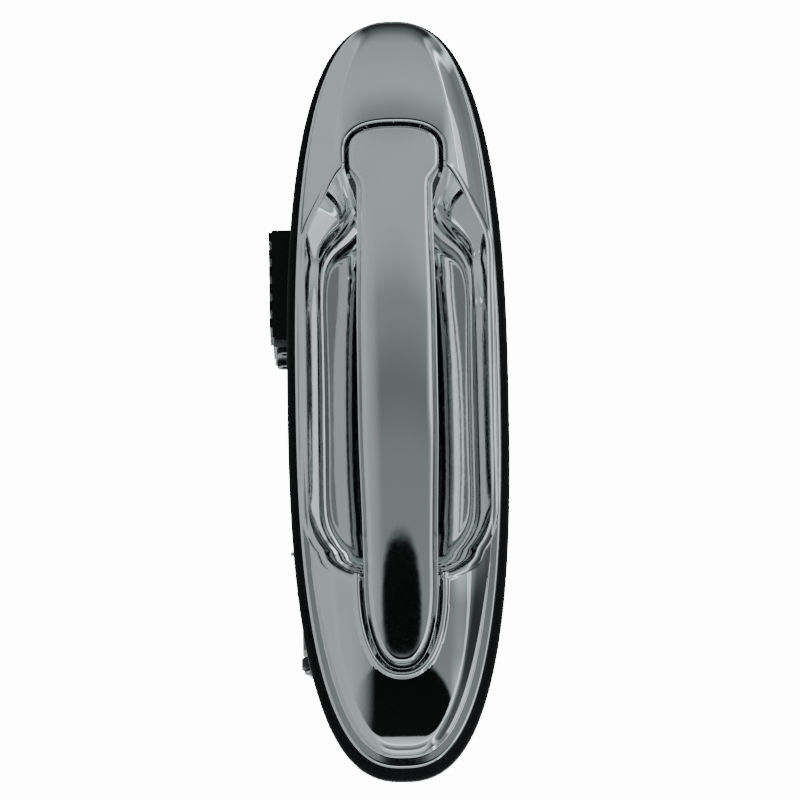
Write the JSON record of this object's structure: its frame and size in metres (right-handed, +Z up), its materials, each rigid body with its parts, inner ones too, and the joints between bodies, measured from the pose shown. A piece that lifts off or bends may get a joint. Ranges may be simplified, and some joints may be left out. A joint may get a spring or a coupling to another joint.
{
  "type": "exterior car door handle",
  "caption": "Pull-type exterior car door handle with a chrome oval bezel, a chrome strap grip, a black rubber gasket, a bell crank and threaded mounting studs.",
  "frame": {"origin": "middle of the gasket's back face, on the door skin's plane", "axes": "+X along the handle towards the pull end, +Y into the door, +Z up as mounted"},
  "size_m": [0.2442, 0.0865, 0.0735],
  "materials": {
    "chrome": "polished",
    "rubber": "satin",
    "nylon": "matte",
    "acetal": "satin",
    "steel": "satin",
    "zinc": "as cast"
  },
  "bodies": {
    "body": {"bezel_housing": "chrome", "base_gasket": "rubber", "carrier_frame": "nylon", "hinge_pin": "steel", "hinge_clips": "steel", "frame_screws": "steel", "mounting_studs": "steel", "stud_seals": "rubber", "crank_pin": "steel", "crank_clips": "steel", "return_spring": "steel", "head_buffer": "rubber", "tip_buffers": "rubber", "leg_boot": "rubber"},
    "grip": {"grip_cover": "chrome", "grip_base": "chrome", "grip_arm": "steel", "grip_leg": "steel", "grip_screws": "steel", "hinge_bushes": "acetal"},
    "crank": {"bell_crank": "zinc", "crank_bushes": "acetal", "counterweight": "nylon", "weight_screws": "steel"},
    "clip": {"rod_clip": "acetal"}
  },
  "joints": [
    {"name": "grip_pull", "type": "hinge", "parent": "body", "child": "grip", "pos_m": [-0.097, -0.008, 0], "axis": [0, 0, -1], "range_deg": [0, 6.5], "stiffness_Nm_per_rad": 0.9},
    {"name": "crank_turn", "type": "hinge", "parent": "body", "child": "crank", "pos_m": [0, 0.019, -0.026], "axis": [1, 0, 0], "range_deg": [0, 56.68], "deforming": ["return_spring"]},
    {"name": "clip_swivel", "type": "hinge", "parent": "crank", "child": "clip", "pos_m": [0.022, 0.044, -0.026], "axis": [1, 0, 0], "range_deg": [-60, 60]}
  ],
  "couplings": [
    {"joint": "crank_turn", "follows": "grip_pull", "ratio": 8.72}
  ]
}
